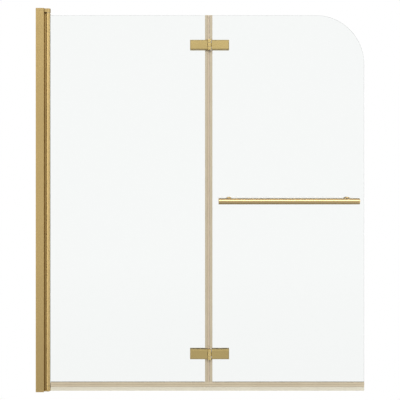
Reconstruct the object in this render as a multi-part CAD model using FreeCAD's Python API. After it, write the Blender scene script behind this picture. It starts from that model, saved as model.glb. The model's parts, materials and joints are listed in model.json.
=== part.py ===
import FreeCAD, Part
import math
import os
from FreeCAD import Vector

# Folding bath screen: two glass panes, hinged to each other and pivoted on a wall channel.
# Millimetres. X runs from the wall along the screen, Y from the towel bar's side to the back, Z up.
# The wall is the plane X = 0, the middle of the glass is Y = 0 and the bath rim is Z = 0.

X_AXIS = Vector(1, 0, 0)
Y_AXIS = Vector(0, 1, 0)
Z_AXIS = Vector(0, 0, 1)
FULL_TURN = 360.0

# Whole screen
screen_width = 1200.0
screen_height = 1400.0
pivot_from_wall = 42.8
fold_from_wall = 633.8
width_travel = 12.0

# Clearances, and the overrun of a cut past the face that it opens
running_gap = 0.3
fit_gap = 0.05
cut_over = 1.0
same_place = 0.001

# Glass
glass_thick = 6.0
glass_foot_height = 28.0
glass_head_drop = 24.0
glass_corner_radius = 178.0
glass_foot_radius = 4.0
glass_arris = 0.5
glass_from_pivot = 0.5

# Wall channel and its top cap
channel_depth = 30.0
channel_width = 27.0
channel_wall = 2.0
channel_round = 1.2
channel_root_round = 0.5
mouth_round_share = 0.4
cap_thick = 3.0
cap_plug_reach = 8.5
cap_plug_height = 8.0
wall_screw_count = 4
wall_screw_radius = 2.75
wall_screw_inset = 100.0

# Adjuster profile that slides in the channel
adjuster_from_wall = 4.0
adjuster_reach = 29.0
adjuster_wall = 1.6
adjuster_neck_width = 10.0
adjuster_head_drop = 19.0
adjuster_foot_height = 5.5
wiper_width = 4.0
wiper_depth = 3.2

# Clamp screws that lock the adjuster, with their plates and covers
clamp_screw_count = 3
clamp_screw_inset = 150.0
clamp_screw_from_wall = 20.0
clamp_screw_radius = 2.0
clamp_head_radius = 4.0
clamp_head_height = 2.4
clamp_plate_length = 12.0
clamp_plate_height = 20.0
clamp_plate_thick = 4.0
cover_wall = 1.2
cover_round = 1.0

# Pivot blocks at the head and foot of the adjuster
head_boss_height = 15.0
head_bridge_start = 0.4
head_bridge_height = 13.1
foot_boss_height = 19.5
foot_bridge_start = 0.6
foot_bridge_height = 4.8
block_edge_round = 0.6
spigot_length = 30.0
spigot_depth = 15.0
block_root_drop = 6.0
tab_thick = 2.8
tab_lap = 9.0
block_screw_radius = 1.5
block_screw_head_radius = 2.8
block_screw_head_height = 1.3
block_screw_depth = 8.0
block_screw_first = 8.0
block_screw_pitch = 14.0

# Pivot post, its end plugs, pins and bushes
post_radius = 8.2
post_edge_round = 0.5
post_gasket_thick = 1.2
head_plug_neck = 3.0
plug_radius = 6.4
plug_seat_depth = 5.0
pin_radius = 3.0
pin_in_boss = 11.0
bush_wall = 1.5
bush_flange_radius = 6.5
bush_flange_thick = 0.9
foot_seam = 1.0
grub_radius = 1.5
grub_depth = 2.5

# Seals on the glass edges
seal_leg = 8.6
seal_leg_thick = 1.4
seal_web = 1.4
seal_tip_round = 0.6
bulb_radius = 3.5
bulb_wall = 1.0
bulb_sink = 0.4
fold_seal_offset = 0.4
sweep_leg = 4.6
sweep_height = 12.6
sweep_half_width = 4.0
sweep_wall = 1.2
sweep_round = 1.0
rib_pitch = 7.2
rib_first_drop = 2.2
rib_groove_height = 1.1
rib_groove_depth = 0.7
lip_thick = 1.0
lip_clearance = 1.0
rear_lip_spread = 4.2
rear_lip_rise = 2.6
seal_to_post = 0.8

# Hinges between the panes
upper_hinge_drop = 133.7
lower_hinge_height = 137.0
hinge_height = 36.2
leaf_length = 63.9
leaf_thick = 9.0
leaf_bevel = 3.2
leaf_from_axis = 7.3
clamp_back_thick = 6.0
clamp_back_bevel = 1.6
pad_thick = 0.8
pad_inset = 0.6
barrel_radius = 6.5
barrel_rise = 1.0
barrel_edge_round = 0.6
arm_thick = 4.6
middle_knuckle = 14.0
washer_thick = 0.5
washer_radius = 6.0
hinge_screw_pitch = 32.0
hinge_screw_radius = 3.0
hinge_head_radius = 6.0
hinge_head_height = 3.0
hinge_screw_bite = 6.0
socket_flat_radius = 2.2
socket_depth = 2.2
glass_hole_radius = 6.5

# Towel bar
bar_radius = 11.3
bar_wall = 1.5
bar_margin = 28.9
bar_left_overhang = 40.0
bar_right_overhang = 35.0
bar_height = 697.9
bar_from_glass = 42.0
bar_cap_thick = 3.0
bar_cap_round = 1.6
bar_cap_plug = 10.0
standoff_radius = 6.0
rose_radius = 13.5
rose_thick = 11.0
rose_round = 1.6
rose_pad_thick = 0.8
rose_back_thick = 5.0
insert_radius = 4.5
insert_depth = 6.0
cover_cap_radius = 11.0
cover_cap_thick = 3.0

# Places worked out from the sizes above
glass_half = glass_thick / 2
glass_foot = glass_foot_height
glass_head = screen_height - glass_head_drop
channel_half = channel_width / 2
channel_inner_half = channel_half - channel_wall
channel_head = screen_height - cap_thick
adjuster_half = channel_inner_half - running_gap
adjuster_inner_half = adjuster_half - adjuster_wall
adjuster_inner_reach = adjuster_reach - adjuster_wall
adjuster_head = screen_height - adjuster_head_drop
cradle_radius = post_radius + running_gap
post_head = screen_height - head_boss_height - head_plug_neck
post_foot = foot_boss_height + foot_seam
post_slot_half = glass_half + post_gasket_thick
inner_glass_left = pivot_from_wall + glass_from_pivot
post_slot_floor = inner_glass_left - post_gasket_thick
post_lip_reach = math.sqrt(post_radius ** 2 - post_slot_half ** 2)
bush_radius = pin_radius + bush_wall
outer_seal_face = fold_from_wall + fold_seal_offset
outer_glass_left = outer_seal_face + seal_web
bulb_right = outer_seal_face - running_gap
inner_glass_right = bulb_right - 2 * bulb_radius + bulb_sink - seal_web
seal_outer_half = glass_half + seal_leg_thick
sweep_foot = glass_foot - seal_web - sweep_height
sweep_top = glass_foot + sweep_leg
inner_sweep_left = pivot_from_wall + post_radius + seal_to_post
leaf_back = glass_half + pad_thick
leaf_front = leaf_back + leaf_thick
barrel_depth = leaf_back + barrel_radius
hinge_heights = [lower_hinge_height, screen_height - upper_hinge_drop]
leaf_middle = leaf_from_axis + leaf_length / 2
inner_leaf_middle = fold_from_wall - leaf_middle
outer_leaf_middle = fold_from_wall + leaf_middle
bar_left = outer_glass_left + bar_margin
bar_right = screen_width - bar_margin
bar_depth = glass_half + bar_from_glass
standoff_places = [bar_left + bar_left_overhang, bar_right - bar_right_overhang]


def evenly(first, last, count):
    """Places from first to last, evenly spaced."""
    return [first + (last - first) * i / (count - 1) for i in range(count)]


wall_screw_heights = evenly(
    wall_screw_inset, screen_height - wall_screw_inset, wall_screw_count
)
clamp_screw_heights = evenly(
    clamp_screw_inset, screen_height - clamp_screw_inset, clamp_screw_count
)


def box(x0, x1, y0, y1, z0, z1):
    """Block between two values on each axis, given in either order."""
    corner = Vector(min(x0, x1), min(y0, y1), min(z0, z1))
    return Part.makeBox(abs(x1 - x0), abs(y1 - y0), abs(z1 - z0), corner)


def rod(radius, start, end):
    """Round bar from one point to another."""
    run = end - start
    return Part.makeCylinder(radius, run.Length, start, run)


def cross_rod(radius, x, z, y0, y1):
    """Round bar along Y, also used as a hole through the glass and its fittings."""
    return rod(radius, Vector(x, y0, z), Vector(x, y1, z))


def joined(shapes):
    """One solid from shapes that meet."""
    return shapes[0].multiFuse(shapes[1:]).removeSplitter()


def group(shapes):
    """Separate solids kept together in one file."""
    return Part.makeCompound(shapes)


def corner_arc(before, corner, after, radius):
    """Start, middle and end of the arc that rounds one corner of an outline."""
    to_before = (before - corner).normalize()
    to_after = (after - corner).normalize()
    half = to_before.getAngle(to_after) / 2
    inward = (to_before + to_after).normalize()
    run = radius / math.tan(half)
    sink = radius / math.sin(half) - radius
    return corner + to_before * run, corner + inward * sink, corner + to_after * run


def profile(corners, place):
    """Flat face through corners (u, v, rounding), set in space by place(u, v)."""
    points = [place(u, v) for u, v, _ in corners]
    arcs = []
    for i, (_, _, radius) in enumerate(corners):
        if radius > 0:
            after = points[(i + 1) % len(points)]
            arcs.append(corner_arc(points[i - 1], points[i], after, radius))
        else:
            arcs.append((points[i], points[i], points[i]))
    edges = []
    for i, (start, middle, end) in enumerate(arcs):
        if corners[i][2] > 0:
            edges.append(Part.Arc(start, middle, end).toShape())
        following = arcs[(i + 1) % len(arcs)][0]
        if following.distanceToPoint(end) > same_place:
            edges.append(Part.LineSegment(end, following).toShape())
    return Part.Face(Part.Wire(edges))


def upright(corners, z0, z1):
    """Section drawn in X and Y, carried from z0 up to z1."""
    face = profile(corners, lambda x, y: Vector(x, y, z0))
    return face.extrude(Z_AXIS * (z1 - z0))


def lengthwise(corners, x0, x1):
    """Section drawn in Y and Z, carried from x0 to x1."""
    face = profile(corners, lambda y, z: Vector(x0, y, z))
    return face.extrude(X_AXIS * (x1 - x0))


def turned(corners, foot, axis):
    """Solid turned about an axis, from corners (radius, distance from foot, rounding)."""
    side = Vector(axis.y, axis.z, axis.x)
    face = profile(corners, lambda radius, along: foot + side * radius + axis * along)
    return face.revolve(foot, axis, FULL_TURN)


def edges_at_depth(shape, y):
    """Edges that lie in the plane at depth y."""
    found = []
    for edge in shape.Edges:
        bounds = edge.BoundBox
        if abs(bounds.YMin - y) < same_place and abs(bounds.YMax - y) < same_place:
            found.append(edge)
    return found


def wall_channel():
    """U section, fixed to the wall, that opens towards the glass."""
    mouth_round = channel_wall * mouth_round_share
    corners = [
        (0, -channel_half, channel_round),
        (channel_depth, -channel_half, mouth_round),
        (channel_depth, -channel_inner_half, mouth_round),
        (channel_wall, -channel_inner_half, channel_root_round),
        (channel_wall, channel_inner_half, channel_root_round),
        (channel_depth, channel_inner_half, mouth_round),
        (channel_depth, channel_half, mouth_round),
        (0, channel_half, channel_round),
    ]
    channel = upright(corners, 0, channel_head)
    holes = []
    for z in wall_screw_heights:
        start = Vector(-cut_over, 0, z)
        holes.append(rod(wall_screw_radius, start, Vector(channel_wall + cut_over, 0, z)))
    for z in clamp_screw_heights:
        radius = clamp_screw_radius + fit_gap
        outside = channel_half + cut_over
        holes.append(
            cross_rod(radius, clamp_screw_from_wall, z, channel_inner_half - cut_over, outside)
        )
    return channel.cut(holes)


def channel_top_cap():
    """Flat cap on the channel, with a short plug behind the adjuster's head."""
    corners = [
        (0, -channel_half, channel_round),
        (channel_depth, -channel_half, 0),
        (channel_depth, channel_half, 0),
        (0, channel_half, channel_round),
    ]
    plate = upright(corners, channel_head, screen_height)
    plug_left = channel_wall + fit_gap
    plug_half = channel_inner_half - fit_gap
    plug = upright(
        [
            (plug_left, -plug_half, channel_root_round),
            (plug_left + cap_plug_reach, -plug_half, 0),
            (plug_left + cap_plug_reach, plug_half, 0),
            (plug_left, plug_half, channel_root_round),
        ],
        channel_head - cap_plug_height,
        channel_head,
    )
    return joined([plate, plug])


def clamp_screws():
    """Pan-head screws through the channel's back wall into the clamp plates."""
    screws = []
    head_out = channel_half + clamp_head_height
    tip = adjuster_inner_half - clamp_plate_thick
    for z in clamp_screw_heights:
        corners = [
            (0, 0, 0),
            (clamp_screw_radius, 0, 0),
            (clamp_screw_radius, channel_half - tip, 0),
            (clamp_head_radius, channel_half - tip, 0),
            (clamp_head_radius, head_out - tip, clamp_head_height / 2),
            (0, head_out - tip, 0),
        ]
        screw = turned(corners, Vector(clamp_screw_from_wall, tip, z), Y_AXIS)
        screws.append(screw.cut(hex_socket(clamp_screw_from_wall, z, head_out, clamp_head_height / 2)))
    return group(screws)


def hex_socket(x, z, face_y, depth):
    """Six-sided recess sunk into a screw head that faces the back."""
    corners = []
    for i in range(6):
        angle = math.radians(FULL_TURN * i / 6)
        corner_x = x + socket_flat_radius * math.cos(angle)
        corners.append((corner_x, z + socket_flat_radius * math.sin(angle), 0))
    face = profile(corners, lambda u, v: Vector(u, face_y - depth, v))
    return face.extrude(Y_AXIS * (depth + cut_over))


def clamp_plates():
    """Tapped plates inside the adjuster that the clamp screws draw against its back wall."""
    plates = []
    face = adjuster_inner_half - fit_gap
    for z in clamp_screw_heights:
        plate = box(
            clamp_screw_from_wall - clamp_plate_length / 2,
            clamp_screw_from_wall + clamp_plate_length / 2,
            face - clamp_plate_thick,
            face,
            z - clamp_plate_height / 2,
            z + clamp_plate_height / 2,
        )
        radius = clamp_screw_radius + fit_gap
        inner_end = face - clamp_plate_thick - cut_over
        hole = cross_rod(radius, clamp_screw_from_wall, z, inner_end, face + cut_over)
        plates.append(plate.cut(hole))
    return group(plates)


def clamp_covers():
    """Small domed covers over the clamp screw heads."""
    covers = []
    inner_radius = clamp_head_radius + fit_gap
    inner_height = clamp_head_height + fit_gap
    for z in clamp_screw_heights:
        corners = [
            (inner_radius, 0, 0),
            (inner_radius + cover_wall, 0, 0),
            (inner_radius + cover_wall, inner_height + cover_wall, cover_round),
            (0, inner_height + cover_wall, 0),
            (0, inner_height, 0),
            (inner_radius, inner_height, 0),
        ]
        covers.append(turned(corners, Vector(clamp_screw_from_wall, channel_half, z), Y_AXIS))
    return group(covers)


def pivot_rod(radius, z0, z1):
    """Round bar on the axis that the screen swings about."""
    return rod(radius, Vector(pivot_from_wall, 0, z0), Vector(pivot_from_wall, 0, z1))


def adjuster_profile():
    """Hollow section in the channel, with a neck that is hollowed to the post's curve."""
    z0 = adjuster_foot_height
    z1 = adjuster_head
    shell = box(adjuster_from_wall, adjuster_reach, -adjuster_half, adjuster_half, z0, z1)
    hollow = box(
        adjuster_from_wall - cut_over,
        adjuster_inner_reach,
        -adjuster_inner_half,
        adjuster_inner_half,
        z0 - cut_over,
        z1 + cut_over,
    )
    neck_half = adjuster_neck_width / 2
    neck = box(adjuster_inner_reach, pivot_from_wall, -neck_half, neck_half, z0, z1)
    cradle = pivot_rod(cradle_radius, z0 - cut_over, z1 + cut_over)
    groove = box(
        pivot_from_wall - cradle_radius - wiper_depth,
        pivot_from_wall,
        -wiper_width / 2,
        wiper_width / 2,
        z0 - cut_over,
        z1 + cut_over,
    )
    slots = []
    slot_half = clamp_screw_radius + running_gap
    for z in clamp_screw_heights:
        slots.append(
            box(
                clamp_screw_from_wall - width_travel - slot_half,
                clamp_screw_from_wall + slot_half,
                adjuster_inner_half - cut_over,
                adjuster_half + cut_over,
                z - slot_half,
                z + slot_half,
            )
        )
    for x, z in block_screw_places():
        slots.append(block_screw(x, z, fit_gap))
    return joined([shell.cut(hollow), neck]).cut([cradle, groove] + slots)


def post_wiper_seal():
    """Soft strip in the neck that shuts the gap behind the post."""
    back = pivot_from_wall - cradle_radius - wiper_depth + fit_gap
    half = wiper_width / 2 - fit_gap
    strip = box(back, pivot_from_wall, -half, half, adjuster_foot_height, adjuster_head)
    over = cut_over + post_head
    return strip.cut(pivot_rod(cradle_radius, -over, over))


def block_screw_places():
    """Where the screws enter the blocks' spigots, at both ends of the adjuster."""
    x = adjuster_inner_reach - spigot_depth / 2
    places = []
    for i in range(2):
        inward = block_screw_first + block_screw_pitch * i
        places.append((x, adjuster_foot_height + inward))
        places.append((x, adjuster_head - inward))
    return places


def countersunk(x, z, face_y, tip_y, radius, head_radius, head_height, gap):
    """Flat-headed screw driven from the back, or with a gap its hole."""
    shank = cross_rod(radius + gap, x, z, tip_y - gap, face_y - head_height)
    head_foot = Vector(x, face_y - head_height, z)
    head = Part.makeCone(radius + gap, head_radius + gap, head_height, head_foot, Y_AXIS)
    return joined([shank, head])


def block_screw(x, z, gap):
    """Screw through the adjuster's back wall into a spigot, or with a gap its hole."""
    return countersunk(
        x,
        z,
        adjuster_half,
        adjuster_half - block_screw_depth,
        block_screw_radius,
        block_screw_head_radius,
        block_screw_head_height,
        gap,
    )


def block_screws():
    """All the screws that hold the pivot blocks."""
    return group([block_screw(x, z, 0) for x, z in block_screw_places()])


def pivot_block(end, way, boss_height, bridge_start, bridge_height, root_start, adjuster_end):
    """Block with a spigot in the adjuster, a bridge over its neck and a boss on the pivot axis."""

    def level(inward):
        return end + way * inward

    boss = turned(
        [
            (0, 0, 0),
            (post_radius, 0, block_edge_round),
            (post_radius, boss_height, block_edge_round),
            (0, boss_height, 0),
        ],
        Vector(pivot_from_wall, 0, min(end, level(boss_height))),
        Z_AXIS,
    )
    bridge = box(
        channel_depth + running_gap,
        pivot_from_wall,
        -post_radius,
        post_radius,
        level(bridge_start),
        level(bridge_start + bridge_height),
    )
    spigot_left = adjuster_inner_reach - spigot_depth
    spigot_half = adjuster_inner_half - fit_gap
    spigot = box(
        spigot_left,
        adjuster_inner_reach - fit_gap,
        -spigot_half,
        spigot_half,
        level(root_start),
        adjuster_end + way * spigot_length,
    )
    link = box(
        spigot_left,
        channel_depth + running_gap,
        -post_radius,
        post_radius,
        level(root_start),
        level(bridge_start + bridge_height),
    )
    tab_front = adjuster_neck_width / 2 + fit_gap
    tab = box(
        adjuster_reach + fit_gap,
        pivot_from_wall - post_radius + fit_gap,
        tab_front,
        tab_front + tab_thick,
        level(bridge_start + bridge_height / 2),
        adjuster_end + way * tab_lap,
    )
    clear = pivot_rod(cradle_radius, level(boss_height), adjuster_end + way * spigot_length)
    block = joined([bridge, spigot, link, tab.cut(clear), boss])
    bore_mouth = level(boss_height + cut_over)
    bore = pivot_rod(bush_radius + fit_gap, bore_mouth, level(boss_height - pin_in_boss - cut_over))
    holes = [block_screw(x, z, fit_gap) for x, z in block_screw_places()]
    return block.cut([bore] + holes)


def head_pivot_block():
    """Block at the head of the adjuster."""
    return pivot_block(
        screen_height,
        -1,
        head_boss_height,
        head_bridge_start,
        head_bridge_height,
        block_root_drop,
        adjuster_head,
    )


def foot_pivot_block():
    """Block at the foot of the adjuster, which carries the weight of the glass."""
    return pivot_block(
        0,
        1,
        foot_boss_height,
        foot_bridge_start,
        foot_bridge_height,
        foot_bridge_start,
        adjuster_foot_height,
    )


def pivot_bushes():
    """Flanged bushes pressed into both bosses."""
    bushes = []
    bore = pin_radius + fit_gap
    for mouth, way in ((foot_boss_height, 1), (screen_height - head_boss_height, -1)):
        corners = [
            (bore, -pin_in_boss, 0),
            (bush_radius, -pin_in_boss, 0),
            (bush_radius, 0, 0),
            (bush_flange_radius, 0, 0),
            (bush_flange_radius, bush_flange_thick, 0),
            (bore, bush_flange_thick, 0),
        ]
        bushes.append(turned(corners, Vector(pivot_from_wall, 0, mouth), Z_AXIS * way))
    return group(bushes)


def pivot_post():
    """Round post with a slot for the glass and a seat for a plug at each end."""
    post = turned(
        [
            (0, 0, 0),
            (post_radius, 0, post_edge_round),
            (post_radius, post_head - post_foot, post_edge_round),
            (0, post_head - post_foot, 0),
        ],
        Vector(pivot_from_wall, 0, post_foot),
        Z_AXIS,
    )
    slot = box(
        post_slot_floor,
        pivot_from_wall + post_radius + cut_over,
        -post_slot_half,
        post_slot_half,
        post_foot - cut_over,
        post_head + cut_over,
    )
    seat_radius = plug_radius + fit_gap
    foot_seat = pivot_rod(seat_radius, post_foot - cut_over, post_foot + plug_seat_depth)
    head_seat = pivot_rod(seat_radius, post_head - plug_seat_depth, post_head + cut_over)
    return post.cut([slot, foot_seat, head_seat] + [grub(z, fit_gap) for z in grub_heights()])


def grub_heights():
    """Heights of the screws that lock the plugs in the post."""
    return [post_foot + plug_seat_depth / 2, post_head - plug_seat_depth / 2]


def grub(z, gap):
    """Headless screw through the back of the post into a plug, or with a gap its hole."""
    inner = plug_radius - grub_depth - gap
    outer = math.sqrt(post_radius ** 2 - grub_radius ** 2) + gap
    return cross_rod(grub_radius + gap, pivot_from_wall, z, inner, outer)


def plug_grub_screws():
    """The two headless screws in the post."""
    return group([grub(z, 0) for z in grub_heights()])


def end_plug(corners, z0):
    """Turned plug with its pin hole and grub screw hole."""
    plug = turned(corners, Vector(pivot_from_wall, 0, z0), Z_AXIS)
    over = cut_over + screen_height
    pin_hole = pivot_rod(pin_radius + fit_gap, -over, over)
    return plug.cut([pin_hole] + [grub(z, fit_gap) for z in grub_heights()])


def foot_end_plug():
    """Plug in the foot of the post."""
    corners = [
        (0, 0, 0),
        (plug_radius, 0, 0),
        (plug_radius, plug_seat_depth - fit_gap, 0),
        (0, plug_seat_depth - fit_gap, 0),
    ]
    return end_plug(corners, post_foot)


def head_end_plug():
    """Plug in the head of the post, with a neck up to the bush."""
    neck_top = plug_seat_depth + head_plug_neck - bush_flange_thick - fit_gap
    corners = [
        (0, fit_gap, 0),
        (plug_radius, fit_gap, 0),
        (plug_radius, neck_top, 0),
        (0, neck_top, 0),
    ]
    return end_plug(corners, post_head - plug_seat_depth)


def pivot_pins():
    """Steel pins from the plugs into the bushes."""
    boss_mouth = screen_height - head_boss_height
    foot_pin = pivot_rod(
        pin_radius, foot_boss_height - pin_in_boss + fit_gap, post_foot + plug_seat_depth - fit_gap
    )
    head_pin = pivot_rod(
        pin_radius, post_head - plug_seat_depth + fit_gap, boss_mouth + pin_in_boss - fit_gap
    )
    return group([foot_pin, head_pin])


def post_gasket():
    """U-shaped strip that grips the glass in the post's slot."""
    half = post_slot_half - fit_gap
    left = post_slot_floor + fit_gap
    right = pivot_from_wall + post_lip_reach
    shell = box(left, right, -half, half, glass_foot, glass_head)
    room = box(
        inner_glass_left, right + cut_over, -glass_half, glass_half, glass_foot, glass_head
    )
    return shell.cut(room)


def pane(corners, holes):
    """Sheet of glass with a small arris on both faces and round holes through it."""
    face = profile(corners, lambda x, z: Vector(x, -glass_half, z))
    sheet = face.extrude(Y_AXIS * glass_thick)
    edges = edges_at_depth(sheet, -glass_half) + edges_at_depth(sheet, glass_half)
    sheet = sheet.makeChamfer(glass_arris, edges)
    over = glass_half + cut_over
    return sheet.cut([cross_rod(glass_hole_radius, x, z, -over, over) for x, z in holes])


def hinge_screw_places(leaf_centre):
    """Where the screws of one pane's hinge leaves go through the glass."""
    offsets = (-hinge_screw_pitch / 2, hinge_screw_pitch / 2)
    return [(leaf_centre + offset, z) for z in hinge_heights for offset in offsets]


def inner_glass():
    """Pane beside the wall."""
    corners = [
        (inner_glass_left, glass_foot, 0),
        (inner_glass_right, glass_foot, 0),
        (inner_glass_right, glass_head, 0),
        (inner_glass_left, glass_head, 0),
    ]
    return pane(corners, hinge_screw_places(inner_leaf_middle))


def outer_glass():
    """Free pane, with its large rounded corner."""
    corners = [
        (outer_glass_left, glass_foot, 0),
        (screen_width, glass_foot, glass_foot_radius),
        (screen_width, glass_head, glass_corner_radius),
        (outer_glass_left, glass_head, 0),
    ]
    holes = hinge_screw_places(outer_leaf_middle) + [(x, bar_height) for x in standoff_places]
    return pane(corners, holes)


def edge_grip(edge, way):
    """U section of a fold seal on a vertical glass edge; way points out of the glass."""
    tip = edge - way * seal_leg
    outer = edge + way * seal_web
    corners = [
        (tip, -seal_outer_half, seal_tip_round),
        (outer, -seal_outer_half, seal_tip_round),
        (outer, seal_outer_half, seal_tip_round),
        (tip, seal_outer_half, seal_tip_round),
        (tip, glass_half, 0),
        (edge, glass_half, 0),
        (edge, -glass_half, 0),
        (tip, -glass_half, 0),
    ]
    return upright(corners, sweep_top, glass_head)


def hinge_notches(left, right):
    """Cuts that take a fold seal's legs away where the hinges clamp the glass."""
    cuts = []
    reach = seal_outer_half + cut_over
    half_height = hinge_height / 2 + barrel_rise + running_gap
    for z in hinge_heights:
        for way in (-1, 1):
            cuts.append(
                box(left, right, way * glass_half, way * reach, z - half_height, z + half_height)
            )
    return cuts


def inner_fold_seal():
    """Seal on the inner pane, with the soft bulb that the outer pane closes on."""
    centre = Vector(bulb_right - bulb_radius, 0, sweep_top)
    top = Vector(centre.x, 0, glass_head)
    bulb = rod(bulb_radius, centre, top)
    bore = rod(bulb_radius - bulb_wall, centre, top)
    grip = edge_grip(inner_glass_right, 1)
    room = box(
        inner_glass_right - seal_leg,
        inner_glass_right,
        -glass_half,
        glass_half,
        sweep_top,
        glass_head,
    )
    seal = joined([grip, bulb.cut(room)]).cut(bore)
    left = inner_glass_right - seal_leg - cut_over
    return seal.cut(hinge_notches(left, outer_seal_face))


def outer_fold_seal():
    """Plain seal on the outer pane."""
    grip = edge_grip(outer_glass_left, -1)
    right = outer_glass_left + seal_leg + cut_over
    return grip.cut(hinge_notches(outer_seal_face - cut_over, right))


def bottom_seal(left, right):
    """Seal under one pane: legs up the glass, a hollow body and grooves along its faces."""
    body_top = glass_foot - seal_web
    legs = box(left, right, -seal_outer_half, seal_outer_half, body_top, sweep_top)
    room = box(
        left - cut_over,
        right + cut_over,
        -glass_half,
        glass_half,
        glass_foot,
        sweep_top + cut_over,
    )
    body = lengthwise(
        [
            (-sweep_half_width, body_top, 0),
            (-sweep_half_width, sweep_foot, sweep_round),
            (sweep_half_width, sweep_foot, sweep_round),
            (sweep_half_width, body_top, 0),
        ],
        left,
        right,
    )
    bore_half = sweep_half_width - sweep_wall
    bore = box(
        left - cut_over,
        right + cut_over,
        -bore_half,
        bore_half,
        sweep_foot + sweep_wall,
        body_top - sweep_wall,
    )
    grooves = []
    for i in range(2):
        z = body_top - rib_first_drop - rib_pitch * i
        for way in (-1, 1):
            inner = way * (sweep_half_width - rib_groove_depth)
            outer = way * (sweep_half_width + cut_over)
            low = z - rib_groove_height / 2
            high = z + rib_groove_height / 2
            grooves.append(box(left - cut_over, right + cut_over, inner, outer, low, high))
    return joined([legs, body]).cut([room, bore] + grooves)


def drip_lip(left, right):
    """Clear fins under a bottom seal: one straight down, one spread towards the back."""
    top = sweep_foot
    half = sweep_half_width - sweep_round
    corners = [
        (-half, top, 0),
        (-half, lip_clearance, 0),
        (-half + lip_thick, lip_clearance, 0),
        (-half + lip_thick, top - lip_thick, 0),
        (half - lip_thick, top - lip_thick, 0),
        (half - lip_thick + rear_lip_spread, lip_clearance + rear_lip_rise, 0),
        (half + rear_lip_spread, lip_clearance + rear_lip_rise, 0),
        (half, top, 0),
    ]
    return lengthwise(corners, left, right)


def inner_leaf(z):
    """Front leaf on the inner pane, with the top and bottom knuckles."""
    spans = knuckle_spans(z)
    return leaf(z, -1, [spans[0], spans[2]])


def outer_leaf(z):
    """Front leaf on the outer pane, with the middle knuckle."""
    return leaf(z, 1, [knuckle_spans(z)[1]])


def knuckle_spans(z):
    """Lowest and highest points of the three knuckles, from the bottom up."""
    half_barrel = hinge_height / 2 + barrel_rise
    half_middle = middle_knuckle / 2
    step = washer_thick + 2 * fit_gap
    return [
        (z - half_barrel, z - half_middle - step),
        (z - half_middle, z + half_middle),
        (z + half_middle + step, z + half_barrel),
    ]


def leaf(z, way, spans):
    """Plate bevelled on three sides, in front of the glass, with arms to its knuckles."""
    near = fold_from_wall + way * leaf_from_axis
    far = near + way * leaf_length
    half = hinge_height / 2
    plate = box(near, far, -leaf_front, -leaf_back, z - half, z + half)
    rims = []
    for edge in edges_at_depth(plate, -leaf_front):
        if abs(edge.CenterOfMass.x - near) > same_place:
            rims.append(edge)
    plate = plate.makeChamfer(leaf_bevel, rims)
    shapes = [plate]
    bores = []
    for low, high in spans:
        arm_low = max(low, z - half)
        arm_high = min(high, z + half)
        arm_front = -leaf_back - arm_thick
        shapes.append(box(fold_from_wall, near, arm_front, -leaf_back, arm_low, arm_high))
        corners = [
            (0, 0, 0),
            (barrel_radius, 0, barrel_edge_round),
            (barrel_radius, high - low, barrel_edge_round),
            (0, high - low, 0),
        ]
        shapes.append(turned(corners, Vector(fold_from_wall, -barrel_depth, low), Z_AXIS))
        bores.append(fold_rod(pin_radius + fit_gap, low - cut_over, high + cut_over))
    centre = fold_from_wall + way * leaf_middle
    holes = [hinge_screw(x, hz, fit_gap) for x, hz in hinge_screw_places(centre)]
    return joined(shapes).cut(bores + holes)


def fold_rod(radius, z0, z1):
    """Round bar on the axis that the panes fold about."""
    start = Vector(fold_from_wall, -barrel_depth, z0)
    return rod(radius, start, Vector(fold_from_wall, -barrel_depth, z1))


def hinge_screw(x, z, gap):
    """Screw from the back plate through the glass into the front leaf, or with a gap its hole."""
    return countersunk(
        x,
        z,
        leaf_back + clamp_back_thick,
        -leaf_back - hinge_screw_bite,
        hinge_screw_radius,
        hinge_head_radius,
        hinge_head_height,
        gap,
    )


def hinge_screws(leaf_centre):
    """Screws of one pane's hinge leaves, with their hexagon sockets."""
    screws = []
    face = leaf_back + clamp_back_thick
    for x, z in hinge_screw_places(leaf_centre):
        screws.append(hinge_screw(x, z, 0).cut(hex_socket(x, z, face, socket_depth)))
    return group(screws)


def back_plates(leaf_centre):
    """Bevelled plates that clamp the glass from behind."""
    plates = []
    face = leaf_back + clamp_back_thick
    holes = [hinge_screw(x, z, fit_gap) for x, z in hinge_screw_places(leaf_centre)]
    for z in hinge_heights:
        plate = box(
            leaf_centre - leaf_length / 2,
            leaf_centre + leaf_length / 2,
            leaf_back,
            face,
            z - hinge_height / 2,
            z + hinge_height / 2,
        )
        plate = plate.makeChamfer(clamp_back_bevel, edges_at_depth(plate, face))
        plates.append(plate.cut(holes))
    return group(plates)


def hinge_pads(leaf_centre):
    """Soft pads between the hinge plates and the glass."""
    pads = []
    half_length = leaf_length / 2 - pad_inset
    half_height = hinge_height / 2 - pad_inset
    for z in hinge_heights:
        for way in (-1, 1):
            pad = box(
                leaf_centre - half_length,
                leaf_centre + half_length,
                way * glass_half,
                way * leaf_back,
                z - half_height,
                z + half_height,
            )
            over = leaf_back + cut_over
            holes = []
            for x, hole_z in hinge_screw_places(leaf_centre):
                holes.append(cross_rod(glass_hole_radius, x, hole_z, -over, over))
            pads.append(pad.cut(holes))
    return group(pads)


def hole_sleeves(places, half_length, bore):
    """Nylon sleeves that keep the screws off the glass."""
    sleeves = []
    for x, z in places:
        corners = [
            (bore, -half_length, 0),
            (glass_hole_radius - fit_gap, -half_length, 0),
            (glass_hole_radius - fit_gap, half_length, 0),
            (bore, half_length, 0),
        ]
        sleeves.append(turned(corners, Vector(x, 0, z), Y_AXIS))
    return group(sleeves)


def hinge_sleeves(leaf_centre):
    """Sleeves round one pane's hinge screws."""
    bore = hinge_screw_radius + fit_gap
    return hole_sleeves(hinge_screw_places(leaf_centre), leaf_back - fit_gap, bore)


def hinge_pins():
    """Pins through the knuckles."""
    half = hinge_height / 2 + barrel_rise
    return group([fold_rod(pin_radius, z - half, z + half) for z in hinge_heights])


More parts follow.
